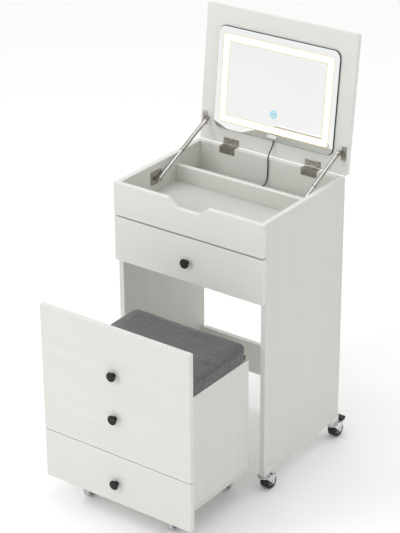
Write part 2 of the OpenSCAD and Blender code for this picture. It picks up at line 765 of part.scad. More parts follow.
// a wheel around the X axis: tread radius, width, and how deep its hub lies in its sides
module wheel_body(r, w, hub_r, recess) {
    half = w / 2;
    rotate([0, 90, 0]) rotate_extrude() polygon(concat(
        [[axle_r + fit, -half + 0.5], [hub_r * 0.55, -half + 0.5], [hub_r * 0.6, -half + recess]],
        [[hub_r, -half + recess], [hub_r + 0.8, -half]],
        arc(r - 3, -half + 3, 3, -90, 0, 4),
        arc(r - 3, half - 3, 3, 0, 90, 4),
        [[hub_r + 0.8, half], [hub_r, half - recess]],
        [[hub_r * 0.6, half - recess], [hub_r * 0.55, half - 0.5], [axle_r + fit, half - 0.5]]));
}

// swivelling fork: stem, race, crown, two legs and the axle
module caster_fork(side, end) {
    axle_z = wheel_d / 2;
    color(steel_color) at_caster(side, end) difference() {
        union() {
            translate([0, 0, crown_bottom]) cylinder(r = race_r, h = 2.6);
            translate([0, 0, crown_bottom]) {
                translate([0, 0, 2.5]) cylinder(r = race_r - 2.2, h = race_h - 2.9);
                translate([0, 0, 1]) cylinder(r = stem_r - fit, h = race_h + 5.5);
            }
            block([-leg_out, -6, crown_bottom], [leg_out, fork_back, crown_bottom + 2]);
            for (x = [-leg_out, leg_in]) translate([x, 0, 0]) rotate([90, 0, 90]) linear_extrude(leg_t) {
                polygon([[-6, crown_bottom + 2], [-6, crown_bottom - 3], [trail - 6, axle_z - 1],
                         [trail + 6, axle_z - 1], [fork_back, pedal_z], [fork_back, crown_bottom + 2]]);
                translate([trail, axle_z]) circle(r = 6);
            }
            translate([0, trail, axle_z]) axle(leg_out);
        }
        translate([0, pedal_y, pedal_z]) rod_x(pedal_pin_r + fit, -leg_out - 1, leg_out + 1);
        // the crown is open over the wheel's rear half, where the pedal lies
        block([-leg_in, race_r - 2, crown_bottom - 1], [leg_in, fork_back + 1, crown_bottom + 3]);
    }
}

module caster_wheel(side, end)
    color(black) at_caster(side, end) translate([0, trail, wheel_d / 2])
        wheel_body(wheel_d / 2, wheel_w, 13, 2.5);

// brake pedal on a rear caster: pivot pin, lever plate and rubber pad
module brake_pedal(side)
    color(black) at_caster(side, 1) translate([0, pedal_y, pedal_z]) {
        rod_x(pedal_pin_r, -leg_out, leg_out);
        rotate([pedal_tilt, 0, 0]) {
            color(steel_color) block([-leg_in + 0.7, 0, -0.8], [leg_in - 0.7, 18, 0.8]);
            block([-11, 8, -0.8], [11, 24, 3.3]);
        }
    }

module front_left_fork() caster_fork(-1, 0);
module front_right_fork() caster_fork(1, 0);
module rear_left_fork() caster_fork(-1, 1);
module rear_right_fork() caster_fork(1, 1);
module front_left_wheel() caster_wheel(-1, 0);
module front_right_wheel() caster_wheel(1, 0);
module rear_left_wheel() caster_wheel(-1, 1);
module rear_right_wheel() caster_wheel(1, 1);
module left_brake_pedal() brake_pedal(-1);
module right_brake_pedal() brake_pedal(1);

module stool_wheel(side, row)
    color("lightgray") at_stool() translate([stool_wheel_x[side], stool_wheel_y[row], stool_wheel_d / 2])
        wheel_body(stool_wheel_d / 2, stool_wheel_w, 13, 2);

module stool_front_left_wheel() stool_wheel(0, 0);
module stool_front_right_wheel() stool_wheel(1, 0);
module stool_rear_left_wheel() stool_wheel(0, 1);
module stool_rear_right_wheel() stool_wheel(1, 1);

// ---------- nodes ----------

left_side_panel();
right_side_panel();
front_fascia();
back_panel();
tray_floor();
tray_divider();
rear_rail();
drawer_runners();
caster_sockets();
hinge_lower_leaves();
strut_wall_brackets();
carcass_screws();
lid_board();
mirror_frame();
mirror_glass();
led_band();
touch_button();
mirror_outlet();
hinge_lid_leaves();
strut_lid_brackets();
lid_screws();
left_strut_rod();
left_strut_tube();
right_strut_rod();
right_strut_tube();
drawer_front();
drawer_box();
drawer_knob();
mirror_cable();
cable_coil();
usb_plug();
stool_front_panel();
stool_sides();
stool_back();
stool_base();
stool_shelf();
stool_knobs();
stool_drawer_runners();
stool_caster_forks();
seat_hinge_lower();
seat_board();
seat_cushion();
seat_hinge_upper();
stool_drawer_front();
stool_drawer_box();
stool_drawer_knob();
front_left_fork();
front_right_fork();
rear_left_fork();
rear_right_fork();
front_left_wheel();
front_right_wheel();
rear_left_wheel();
rear_right_wheel();
left_brake_pedal();
right_brake_pedal();
stool_front_left_wheel();
stool_front_right_wheel();
stool_rear_left_wheel();
stool_rear_right_wheel();
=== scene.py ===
"""Looks for the flip-top vanity desk and its rolling stool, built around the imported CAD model.

Metres, +Z up, in the CAD's own frame. Distances that repeat a size from part.scad are in its millimetres.
"""

import json
import math

import bmesh
import bpy
import numpy as np
from mathutils import Matrix, Vector
from mathutils.bvhtree import BVHTree

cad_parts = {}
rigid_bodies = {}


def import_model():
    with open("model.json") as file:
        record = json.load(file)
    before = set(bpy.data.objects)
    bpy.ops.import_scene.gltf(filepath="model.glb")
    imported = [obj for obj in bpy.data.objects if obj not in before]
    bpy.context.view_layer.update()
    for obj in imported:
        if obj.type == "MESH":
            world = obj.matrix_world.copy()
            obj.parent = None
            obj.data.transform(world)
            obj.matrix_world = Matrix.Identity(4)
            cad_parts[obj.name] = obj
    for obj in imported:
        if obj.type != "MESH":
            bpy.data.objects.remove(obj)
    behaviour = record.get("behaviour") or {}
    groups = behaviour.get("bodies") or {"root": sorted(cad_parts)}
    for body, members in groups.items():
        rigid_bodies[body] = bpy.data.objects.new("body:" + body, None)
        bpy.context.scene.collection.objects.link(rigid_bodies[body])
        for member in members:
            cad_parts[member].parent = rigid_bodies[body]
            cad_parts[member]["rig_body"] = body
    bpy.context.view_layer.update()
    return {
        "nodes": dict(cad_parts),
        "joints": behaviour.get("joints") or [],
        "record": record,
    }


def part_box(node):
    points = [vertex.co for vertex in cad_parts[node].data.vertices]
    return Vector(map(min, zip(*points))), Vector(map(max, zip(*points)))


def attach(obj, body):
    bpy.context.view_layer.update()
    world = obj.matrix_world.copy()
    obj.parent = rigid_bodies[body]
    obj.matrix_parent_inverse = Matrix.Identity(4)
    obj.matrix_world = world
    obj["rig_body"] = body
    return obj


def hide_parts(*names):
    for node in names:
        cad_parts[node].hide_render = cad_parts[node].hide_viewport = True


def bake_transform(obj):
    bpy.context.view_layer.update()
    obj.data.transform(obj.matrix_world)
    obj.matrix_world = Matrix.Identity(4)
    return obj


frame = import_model()
MM = 0.001

# ---------- places ----------

desk_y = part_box("front_fascia")[0].y
lid_joint = next(j for j in frame["joints"] if j["name"] == "lid_hinge")
lid_open = math.radians(lid_joint["range_deg"][1])
HINGE_AXIS_OUT = 1.0  # from the lid's rear edge to the hinge axis, along the lid
HINGE_AXIS_DOWN = 1.8  # from the lid's inner face to the hinge axis
# x across, y up the lid from its hinge edge, z out of its inner face
LID = (
    Matrix.Translation(lid_joint["pos_m"])
    @ Matrix.Rotation(-lid_open, 4, "X")
    @ Matrix.Translation((0, HINGE_AXIS_OUT * MM, HINGE_AXIS_DOWN * MM))
    @ Matrix.Rotation(math.pi, 4, "X")
)
LID_FACE = tuple(LID.to_3x3() @ Vector((0, 0, 1)))


def at_desk(x, y, z):
    """A point in the desk's own millimetres, y from the fascia's front face."""
    return Vector((x * MM, y * MM + desk_y, z * MM))


def on_lid(x, s, off):
    """A point on the open lid, in millimetres."""
    return LID @ Vector((x * MM, s * MM, off * MM))


# ---------- camera ----------

CAMERA_AT = (2.66258, -3.61235, 2.77010)
CAMERA_TURN = (36.388, 25.8859, -0.3583)  # azimuth, elevation and roll, in degrees
CAMERA_LENS = 127.63


def add_camera():
    """A camera at CAMERA_AT, turned by azimuth and elevation around the piece and rolled a little."""
    azimuth, elevation, roll = (math.radians(a) for a in CAMERA_TURN)
    right = Vector((math.cos(azimuth), math.sin(azimuth), 0))
    back = Vector(
        (
            math.sin(azimuth) * math.cos(elevation),
            -math.cos(azimuth) * math.cos(elevation),
            math.sin(elevation),
        )
    )
    up = back.cross(right)
    x = right * math.cos(roll) + up * math.sin(roll)
    y = up * math.cos(roll) - right * math.sin(roll)
    data = bpy.data.cameras.new("camera")
    data.lens = CAMERA_LENS
    data.sensor_width = 36
    data.clip_end = 50
    camera = bpy.data.objects.new("camera", data)
    bpy.context.scene.collection.objects.link(camera)
    turn = Matrix((x, y, back)).transposed().to_4x4()
    camera.matrix_world = Matrix.Translation(CAMERA_AT) @ turn
    bpy.context.scene.camera = camera


add_camera()

# ---------- mesh helpers ----------


def new_object(name, bm, smooth=30):
    """The finished bmesh as an object, shaded smooth up to that angle."""
    bmesh.ops.recalc_face_normals(bm, faces=bm.faces)
    mesh = bpy.data.meshes.new(name)
    bm.to_mesh(mesh)
    bm.free()
    ob = bpy.data.objects.new(name, mesh)
    bpy.context.scene.collection.objects.link(ob)
    if smooth:
        mesh.shade_smooth()
        mesh.set_sharp_from_angle(angle=math.radians(smooth))
    return ob


def add_block(bm, low, high, bevel=0.0, segments=2):
    """A box between two corners, with its edges rounded."""
    low, high = Vector(low), Vector(high)
    made = bmesh.ops.create_cube(bm, size=1)["verts"]
    size = high - low
    for v in made:
        v.co = low + Vector(((v.co[i] + 0.5) * size[i] for i in range(3)))
    if bevel:
        edges = {e for v in made for e in v.link_edges}
        bmesh.ops.bevel(
            bm, geom=list(edges), offset=bevel, segments=segments, profile=0.5, affect="EDGES"
        )


def scaled(profile):
    """The millimetre points of a profile, in metres."""
    return [(r * MM, h * MM) for r, h in profile]


def add_lathe(bm, profile, place, axis, segments=48):
    """Turns (radius, height) points around an axis. A radius of 0 closes an end."""
    turn = Vector(axis).to_track_quat("Z", "Y").to_matrix()
    place = Vector(place)
    rings = []
    for radius, height in profile:
        if radius == 0:
            rings.append([bm.verts.new(place + turn @ Vector((0, 0, height)))])
            continue
        turns = [2 * math.pi * k / segments for k in range(segments)]
        ring = [Vector((radius * math.cos(a), radius * math.sin(a), height)) for a in turns]
        rings.append([bm.verts.new(place + turn @ point) for point in ring])
    for a, b in zip(rings, rings[1:]):
        for k in range(segments):
            n = (k + 1) % segments
            corners = [a[k % len(a)], a[n % len(a)], b[n % len(b)], b[k % len(b)]]
            corners = [v for i, v in enumerate(corners) if v not in corners[:i]]
            if len(corners) > 2:
                bm.faces.new(corners)


def arc(center_r, center_h, radius, start, end, steps=6):
    """Profile points along an arc, its angles in degrees from the +radius direction."""
    return [
        (
            center_r + radius * math.cos(math.radians(start + (end - start) * i / steps)),
            center_h + radius * math.sin(math.radians(start + (end - start) * i / steps)),
        )
        for i in range(steps + 1)
    ]


def add_tube(bm, path, radius, sides=10, closed=False):
    """A tube around a path, its rings turned as little as possible from one to the next."""
    points = [Vector(p) for p in path]
    count = len(points)
    side = None
    rings = []
    for i, point in enumerate(points):
        before = points[i - 1] if closed or i else point
        after = points[(i + 1) % count] if closed or i < count - 1 else point
        along = (after - before).normalized()
        if side is None:
            side = along.orthogonal().normalized()
        side = (side - along * side.dot(along)).normalized()
        other = along.cross(side)
        rings.append(
            [
                bm.verts.new(
                    point
                    + radius * math.cos(2 * math.pi * k / sides) * side
                    + radius * math.sin(2 * math.pi * k / sides) * other
                )
                for k in range(sides)
            ]
        )
    pairs = list(zip(rings, rings[1:])) + ([(rings[-1], rings[0])] if closed else [])
    for a, b in pairs:
        shift = 0
        if closed and a is rings[-1]:
            shift = min(range(sides), key=lambda s: (a[0].co - b[s].co).length)
        for k in range(sides):
            n = (k + 1) % sides
            bm.faces.new([a[k], a[n], b[(n + shift) % sides], b[(k + shift) % sides]])
    if not closed:
        bm.faces.new(list(reversed(rings[0])))
        bm.faces.new(rings[-1])


def smooth_path(points, step):
    """Points about step apart along a smooth curve through the given ones."""
    points = [Vector(p) for p in points]
    ends = [2 * points[0] - points[1], *points, 2 * points[-1] - points[-2]]
    made = []
    for a, b, c, d in zip(ends, ends[1:], ends[2:], ends[3:]):
        parts = max(1, round((c - b).length / step))
        for i in range(parts):
            t = i / parts
            made.append(
                0.5
                * (
                    2 * b
                    + (c - a) * t
                    + (2 * a - 5 * b + 4 * c - d) * t**2
                    + (3 * b - a - 3 * c + d) * t**3
                )
            )
    return made + [points[-1]]


def rounded_outline(width, height, radius, steps=8):
    """A rounded rectangle's points, centred on x and standing on y = 0, all in one unit."""
    points = []
    for cx, cy, start in (
        (width / 2 - radius, radius, -90),
        (width / 2 - radius, height - radius, 0),
        (radius - width / 2, height - radius, 90),
        (radius - width / 2, radius, 180),
    ):
        for i in range(steps + 1):
            a = math.radians(start + 90 * i / steps)
            points.append((cx + radius * math.cos(a), cy + radius * math.sin(a)))
    return points


# ---------- the mirror's lead ----------

CORD_D = 3.4
TRAY_TOP = 715
TRAY_CORD_Z = TRAY_TOP + CORD_D / 2 + 0.15
# the route's points repeat part.scad's
ROUTE = [
    (4.5, 389.55, 839.15), (4.5, 388.91, 833.18),
    (4.5, 384.5, 826), (4.5, 378, 818), (4.5, 371, 810.5), (4.5, 366, 802), (4.5, 364, 793),
    (4.4, 364.5, 784), (4.2, 365, 775), (4, 365.2, 766), (3.6, 365.2, 757), (3, 365.2, 748),
    (2.2, 365, 739), (1, 364, 730.5), (-1, 360.5, 722.5), (-4, 354.5, TRAY_CORD_Z + 0.8),
    (-7.5, 347, TRAY_CORD_Z), (-11.5, 339.5, TRAY_CORD_Z), (-15, 332, TRAY_CORD_Z),
    (-18, 324, TRAY_CORD_Z), (-20.2, 316, TRAY_CORD_Z), (-21.4, 309, TRAY_CORD_Z),
    (-21.75, 303, TRAY_CORD_Z),
]  # fmt: skip
COIL_AT = (-46, 303)
COIL_MID_R = 19
COIL_PITCH = 3.5
COIL_OUTER_R = COIL_MID_R + 1.5 * COIL_PITCH
COIL_STEPS = 24  # points in a turn
LAYER_TURNS = 3
CLIMB_TURNS = 0.4
LAST_TURNS = 2.85
PLUG_W, PLUG_T = 12, 7.5
PLUG_AT = (-54.5, COIL_AT[1] - COIL_OUTER_R, TRAY_TOP + 0.1 + PLUG_T / 2)


def coil_points():
    """Three turns inwards on the tray, a climb onto them, and nearly three turns back outwards."""
    points = []
    turns = LAYER_TURNS + CLIMB_TURNS + LAST_TURNS
    for i in range(1, round(turns * COIL_STEPS) + 1):
        t = i / COIL_STEPS
        rise = min(max((t - LAYER_TURNS) / CLIMB_TURNS, 0), 1)
        back = max(t - LAYER_TURNS - CLIMB_TURNS, 0) * LAYER_TURNS / LAST_TURNS
        radius = COIL_OUTER_R - COIL_PITCH * (min(t, LAYER_TURNS) - back)
        angle = -2 * math.pi * t
        points.append(
            (
                COIL_AT[0] + radius * math.cos(angle),
                COIL_AT[1] + radius * math.sin(angle),
                TRAY_CORD_Z + COIL_PITCH * rise * rise * (3 - 2 * rise),
            )
        )
    return points


def make_cord():
    lead_in = [
        (-50, PLUG_AT[1] - 0.05, TRAY_CORD_Z + COIL_PITCH - 0.35),
        (-54.5, PLUG_AT[1], PLUG_AT[2] + 0.45),
        (-58.5, PLUG_AT[1], PLUG_AT[2]),
    ]
    path = smooth_path([at_desk(*p) for p in ROUTE + coil_points() + lead_in], 2 * MM)
    bm = bmesh.new()
    add_tube(bm, path, CORD_D / 2 * MM, 12)
    cord = new_object("mirror_lead", bm, 60)
    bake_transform(cord)
    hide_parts("mirror_cable", "cable_coil")
    return cord, path


def make_plug():
    """A plug with a ribbed strain relief, a soft-edged body with grip lines, and a metal shell."""
    x, y, z = PLUG_AT
    half_w, half_t = PLUG_W / 2, PLUG_T / 2
    bm = bmesh.new()
    low, high = (x - 29, y - half_w, z - half_t), (x - 6, y + half_w, z + half_t)
    add_block(bm, at_desk(*low), at_desk(*high), 1.1 * MM, 3)
    for i in range(4):
        r = 3.4 - 0.28 * i
        rib = scaled([(0, -0.55), (r, -0.55), (r, 0.4), (r * 0.8, 0.65), (0, 0.65)])
        add_lathe(bm, rib, at_desk(x - 6.4 + 1.6 * i, y, z), (1, 0, 0), 20)
    sleeve = scaled([(0, 0), (2.7, 0), (2.1, 7), (0, 7)])
    add_lathe(bm, sleeve, at_desk(x - 7, y, z), (1, 0, 0), 20)
    for i in range(5):
        cx = x - 13 - 2.4 * i
        for side in (-1, 1):
            low, high = sorted((y + side * (half_w - 0.1), y + side * half_w))
            add_block(bm, at_desk(cx - 0.6, low, z - 2.2), at_desk(cx + 0.6, high, z + 2.2))
    body = new_object("usb_plug_body", bm, 35)
    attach(body, "carcass")
    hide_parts("usb_plug")
    bm = bmesh.new()
    add_block(bm, at_desk(x - 41, y - 5.5, z - 2.25), at_desk(x - 28.5, y + 5.5, z + 2.25), 0.3 * MM)
    for dy in (-2.6, 2.6):
        low, high = (x - 37, y + dy - 1, z + 2.1), (x - 35, y + dy + 1, z + 2.28)
        add_block(bm, at_desk(*low), at_desk(*high), 0.05 * MM)
    shell = new_object("usb_plug_shell", bm, 35)
    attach(shell, "carcass")
    return body, shell


cord, cord_path = make_cord()
plug_body, plug_shell = make_plug()

# ---------- materials ----------


class Shader:
    """A material while its nodes are wired. Plain values go on the shader's own sockets."""

    def __init__(self, name, **values):
        self.material = bpy.data.materials.new(name)
        self.material.use_nodes = True
        self.tree = self.material.node_tree
        self.bsdf = self.tree.nodes["Principled BSDF"]
        self.coords = self.node("ShaderNodeTexCoord")
        for key, value in values.items():
            self.bsdf.inputs[key.replace("_", " ").title().replace("Ior", "IOR")].default_value = value

    def node(self, kind, **settings):
        made = self.tree.nodes.new(kind)
        for key, value in settings.items():
            setattr(made, key, value)
        return made

    def link(self, source, target):
        self.tree.links.new(source, target)

    def mapped(self, scale, move=(0, 0, 0)):
        made = self.node("ShaderNodeMapping")
        made.inputs["Scale"].default_value = scale
        made.inputs["Location"].default_value = move
        self.link(self.coords.outputs["Object"], made.inputs["Vector"])
        return made.outputs["Vector"]

    def noise(self, scale, detail=3, vector=None, roughness=0.5):
        made = self.node("ShaderNodeTexNoise")
        made.inputs["Scale"].default_value = scale
        made.inputs["Detail"].default_value = detail
        made.inputs["Roughness"].default_value = roughness
        self.link(vector or self.coords.outputs["Object"], made.inputs["Vector"])
        return made.outputs["Fac"]

    def fill(self, sockets, values):
        """Gives each socket its number, its colour or the output that drives it."""
        for socket, value in zip(sockets, values):
            if isinstance(value, (int, float)):
                socket.default_value = value
            elif isinstance(value, tuple):
                socket.default_value = (*value, 1)
            elif value is not None:
                self.link(value, socket)

    def math(self, operation, a, b=None):
        made = self.node("ShaderNodeMath", operation=operation)
        self.fill(made.inputs, (a, b))
        return made.outputs[0]

    def blend(self, a, part_a, b, part_b):
        """The sum of two values, each times its share."""
        return self.math("ADD", self.math("MULTIPLY", a, part_a), self.math("MULTIPLY", b, part_b))

    def facing(self, direction):
        """How far the surface looks in a direction, from -1 to 1."""
        made = self.node("ShaderNodeVectorMath", operation="DOT_PRODUCT")
        self.link(self.coords.outputs["Normal"], made.inputs[0])
        made.inputs[1].default_value = direction
        return made.outputs["Value"]

    def span(self, value, low, high, to_low=0.0, to_high=1.0):
        made = self.node("ShaderNodeMapRange")
        made.inputs["From Min"].default_value = low
        made.inputs["From Max"].default_value = high
        made.inputs["To Min"].default_value = to_low
        made.inputs["To Max"].default_value = to_high
        self.link(value, made.inputs["Value"])
        return made.outputs["Result"]

    def colors(self, factor, stops):
        made = self.node("ShaderNodeValToRGB")
        ramp = made.color_ramp
        while len(ramp.elements) < len(stops):
            ramp.elements.new(0.5)
        for element, (place, color) in zip(ramp.elements, stops):
            element.position = place
            element.color = (*color, 1)
        self.link(factor, made.inputs["Fac"])
        return made.outputs["Color"]

    def mix(self, factor, a, b):
        made = self.node("ShaderNodeMix", data_type="RGBA")
        inputs = made.inputs  # the node's colour sockets come after those of its other data types
        self.fill((inputs[0], inputs[6], inputs[7]), (factor, a, b))
        return made.outputs[2]

    def bump(self, height, strength, distance):
        made = self.node("ShaderNodeBump")
        made.inputs["Strength"].default_value = strength
        made.inputs["Distance"].default_value = distance
        self.link(height, made.inputs["Height"])
        self.link(made.outputs["Normal"], self.bsdf.inputs["Normal"])

    def set(self, socket, source):
        self.link(source, self.bsdf.inputs[socket])


LAMINATE = (0.747, 0.753, 0.712)
LAMINATE_GRAIN = (0.716, 0.722, 0.681)
LAMINATE_CLOUD = (0.69, 0.695, 0.655)
# The edge band is lighter than the broad faces: partly its own colour, partly a painted highlight along the
# board edges.
EDGE_BAND = (0.755, 0.758, 0.725)
EDGE_BAND_LIGHT = (0.80, 0.80, 0.77)


def laminate(name, grain, face, tone=1.0):
    """Off-white laminate with a faint printed grain along one axis; face is the direction that the board's
    broad sides look in, and the narrow sides get plain edge band, a little smoother and lighter, its own
    colour with a painted highlight along the edges added in. Tone darkens the whole colour as painted shade,
    set by how much light each group of boards gets."""

    # darkens a colour by tone, the painted shade of this group of boards
    def shaded(color):
        return tuple(c * tone for c in color)

    shader = Shader(name, IOR=1.46)
    along = [260.0, 260.0, 260.0]
    along["XYZ".index(grain)] = 9.0
    fine = shader.noise(1, 4, shader.mapped(along), 0.6)
    broad = shader.noise(1, 2, shader.mapped([a / 9 for a in along], move=(3, 1, 2)))
    cloud = shader.noise(3.5, 2)
    streak = shader.blend(fine, 0.55, broad, 0.45)
    grained = shader.colors(streak, [(0.34, shaded(LAMINATE_GRAIN)), (0.62, shaded(LAMINATE))])
    clouded = shader.mix(shader.span(cloud, 0.3, 0.7, 0, 0.12), grained, shaded(LAMINATE_CLOUD))
    flat = shader.span(shader.math("ABSOLUTE", shader.facing(face)), 0.9, 0.97)
    mottle = shader.span(shader.noise(60, 2), 0.3, 0.7)
    # narrow sides: edge band mottled at random, lighter partly as a painted highlight
    band = shader.mix(mottle, shaded(EDGE_BAND), shaded(EDGE_BAND_LIGHT))
    shader.set("Base Color", shader.mix(flat, band, clouded))
    gloss = shader.span(fine, 0.3, 0.7, 0.42, 0.52)
    smoother = shader.math("MULTIPLY", shader.math("SUBTRACT", 1, flat), 0.08)
    shader.set("Roughness", shader.math("SUBTRACT", gloss, smoother))
    shader.bump(shader.math("MULTIPLY", streak, flat), 0.25, 0.0002)
    return shader.material


def metal(name, color, rough, streak=(1, 1, 1), spread=0.08, stain=None, rim=1.0):
    """Metal with fine brushing and slight blotches; a rim below 1 darkens it at grazing angles."""
    shader = Shader(name, Metallic=1.0, Specular_Tint=(rim, rim, rim, 1))
    brushed = shader.noise(900, 2, shader.mapped(streak))
    blotch = shader.noise(90, 3)
    darker = tuple(c * 0.82 for c in color)
    base = shader.mix(shader.span(blotch, 0.35, 0.65), color, stain or darker)
    lighter = tuple(min(c * 1.12, 1) for c in color)
    shader.set("Base Color", shader.mix(shader.span(brushed, 0.3, 0.7, 0, 0.5), base, lighter))
    uneven = shader.blend(brushed, 0.5, blotch, 0.5)
    shader.set("Roughness", shader.span(uneven, 0.3, 0.7, rough - spread, rough + spread))
    shader.bump(brushed, 0.12, 0.00005)
    return shader.material


def plastic(name, color, rough=0.4, grain=1200, depth=0.00006, lighter=1.25, ior=1.5):
    """Moulded plastic with a fine grain, slight mottling and uneven gloss."""
    shader = Shader(name, IOR=ior)
    fine = shader.noise(grain, 2)
    broad = shader.noise(45, 3)
    light = tuple(min(c * lighter, 1) for c in color)
    shader.set("Base Color", shader.mix(shader.span(broad, 0.3, 0.7), color, light))
    shader.set("Roughness", shader.span(broad, 0.3, 0.7, rough - 0.06, rough + 0.08))
    shader.bump(fine, 0.3, depth)
    return shader.material


def rubber(name, color, rough=0.62):
    """Matt rubber with dust in a fine grain."""
    shader = Shader(name, IOR=1.48)
    fine = shader.noise(1500, 3)
    dust = shader.noise(140, 4)
    worn = tuple(c * 1.5 + 0.02 for c in color)
    shader.set("Base Color", shader.mix(shader.span(dust, 0.45, 0.75, 0, 0.6), color, worn))
    shader.set("Roughness", shader.span(dust, 0.3, 0.7, rough - 0.08, rough + 0.12))
    shader.bump(shader.math("ADD", fine, dust), 0.35, 0.00008)
    return shader.material


def fabric(name, dark, light):
    """Heathered plain weave: crossed threads of two greys, slubs, and a soft sheen."""
    shader = Shader(name, Sheen_Weight=0.25, Sheen_Roughness=0.5, IOR=1.4)
    warp = shader.noise(1, 3, shader.mapped((1500, 95, 95)), 0.6)
    weft = shader.noise(1, 3, shader.mapped((95, 1500, 120), move=(5, 2, 1)), 0.6)
    rise = shader.noise(1, 2, shader.mapped((900, 900, 80), move=(1, 7, 3)), 0.6)
    threads = shader.blend(shader.blend(warp, 0.42, weft, 0.30), 1, rise, 0.28)
    cloud = shader.noise(26, 3)
    tone = shader.math("ADD", threads, shader.math("MULTIPLY", shader.math("SUBTRACT", cloud, 0.5), 0.10))
    # longer slubs run across the seat on top and up and down its sides
    facing = shader.node("ShaderNodeSeparateXYZ")
    shader.link(shader.coords.outputs["Normal"], facing.inputs[0])
    top = shader.span(facing.outputs["Z"], 0.5, 0.8)
    across = shader.noise(1, 2, shader.mapped((55, 420, 420), move=(2, 9, 4)), 0.6)
    upward = shader.noise(1, 2, shader.mapped((380, 380, 60), move=(8, 3, 6)), 0.6)
    slubs = shader.math(
        "ADD",
        shader.math("MULTIPLY", across, top),
        shader.math("MULTIPLY", upward, shader.math("SUBTRACT", 1, top)),
    )
    tone = shader.math("ADD", tone, shader.math("MULTIPLY", shader.math("SUBTRACT", slubs, 0.5), 0.45))
    mid = tuple((a + b) / 2 for a, b in zip(dark, light))
    shader.set("Base Color", shader.colors(tone, [(0.36, dark), (0.50, mid), (0.64, light)]))
    shader.set("Roughness", shader.span(threads, 0.35, 0.65, 0.82, 0.95))
    split = shader.node("ShaderNodeSeparateXYZ")
    shader.link(shader.coords.outputs["Object"], split.inputs[0])
    pitch = 2 * math.pi / 0.0016
    waves = [shader.math("SINE", shader.math("MULTIPLY", split.outputs[i], pitch)) for i in range(3)]
    weave = shader.math("ADD", shader.math("ADD", waves[0], waves[1]), waves[2])
    height = shader.math("ADD", shader.math("MULTIPLY", weave, 0.22), threads)
    shader.bump(height, 0.5, 0.0004)
    return shader.material


def mirror_material():
    """Silvered glass on its front face, dark polished edge elsewhere."""
    shader = Shader("silvered_glass", Coat_Weight=0.4, Coat_Roughness=0.02)
    front = shader.span(shader.facing(LID_FACE), 0.985, 0.995)
    haze = shader.noise(6, 2)
    silver = shader.mix(shader.span(haze, 0.3, 0.7), (0.965, 0.97, 0.965), (0.94, 0.95, 0.95))
    shader.set("Base Color", shader.mix(front, (0.16, 0.20, 0.20), silver))
    shader.set("Metallic", shader.span(front, 0, 1, 0.2, 1))
    shader.set("Roughness", shader.span(haze, 0.3, 0.7, 0.015, 0.035))
    return shader.material


def glow(name, color, strength, base=(0.9, 0.9, 0.88)):
    """A diffuse lit surface, very slightly uneven."""
    shader = Shader(name, Roughness=0.5, Emission_Strength=strength)
    uneven = shader.noise(120, 2)
    shader.set("Base Color", shader.mix(shader.span(uneven, 0.3, 0.7), base, tuple(c * 0.96 for c in base)))
    dimmer = tuple(c * 0.94 for c in color)
    shader.set("Emission Color", shader.mix(shader.span(uneven, 0.3, 0.7), color, dimmer))
    return shader.material


# The last number of each is painted shade: the same laminate darker where its boards get less light, most for
# the flat boards of the tray floor, stool base and shelf, then the side panels.
BOARD_FRONT = laminate("laminate_front", "X", (0, 1, 0), 0.95)
BOARD_SIDE = laminate("laminate_side", "Z", (1, 0, 0), 0.92)
BOARD_FLAT = laminate("laminate_flat", "X", (0, 0, 1), 0.80)
BOARD_LID = laminate("laminate_lid", "X", LID_FACE, 0.965)
BOARD_SHELF = laminate("laminate_drawer", "Y", (0, 0, 1), 0.95)
NICKEL = metal("satin_nickel", (0.45, 0.425, 0.385), 0.32, (1, 0.08, 0.08), 0.1, (0.22, 0.20, 0.17))
ZINC = metal("zinc_plate", (0.66, 0.67, 0.68), 0.32, (0.1, 1, 0.3))
BRIGHT_ZINC = metal("bright_zinc", (0.70, 0.71, 0.72), 0.19, (0.1, 1, 0.3), 0.05)
SCREW = metal("screw_steel", (0.40, 0.385, 0.36), 0.28, (1, 0.1, 0.1), 0.06)
SATIN = metal("strut_tube", (0.47, 0.455, 0.435), 0.17, (1, 0.05, 0.05), 0.05, rim=0.1)
POLISHED = metal("strut_rod", (0.57, 0.565, 0.555), 0.10, (1, 0.1, 0.1), 0.04, rim=0.1)
BLACK_PAINT = plastic("black_powder_coat", (0.007, 0.007, 0.0072), 0.42, 1700, 0.00009, 1.6, ior=1.36)
BLACK_PLASTIC = plastic("black_plastic", (0.018, 0.018, 0.019), 0.42)
RIM = plastic("mirror_rim", (0.055, 0.057, 0.060), 0.30)
WHITE_PLASTIC = plastic("white_plastic", (0.80, 0.80, 0.80), 0.35, lighter=1.04)
SOCKET = plastic("socket_plastic", (0.70, 0.705, 0.68), 0.5, lighter=1.05)
HUB = plastic("black_hub", (0.022, 0.022, 0.024), 0.36)
TYRE = rubber("black_tyre", (0.016, 0.016, 0.017))
STOOL_TYRE = rubber("grey_tyre", (0.44, 0.45, 0.46), 0.5)
DARK_HUB = plastic("dark_hub", (0.05, 0.05, 0.055), 0.4)
JACKET = rubber("cord_jacket", (0.012, 0.012, 0.013), 0.45)
HEATHER = fabric("heather_weave", (0.066, 0.067, 0.069), (0.168, 0.170, 0.174))
# A darker copy of the cover weave, painted shade: on the welt it darkens the crease round the seat's top, on
# the seat board the gap under the cushion.
SHADE_WEAVE = fabric("shade_weave", (0.040, 0.040, 0.042), (0.115, 0.116, 0.119))
MIRROR = mirror_material()


def paint(ob, material):
    ob.data.materials.clear()
    ob.data.materials.append(material)


paint(cord, JACKET)
paint(plug_body, BLACK_PLASTIC)
paint(plug_shell, ZINC)

# ---------- boards and fittings from the CAD shapes ----------


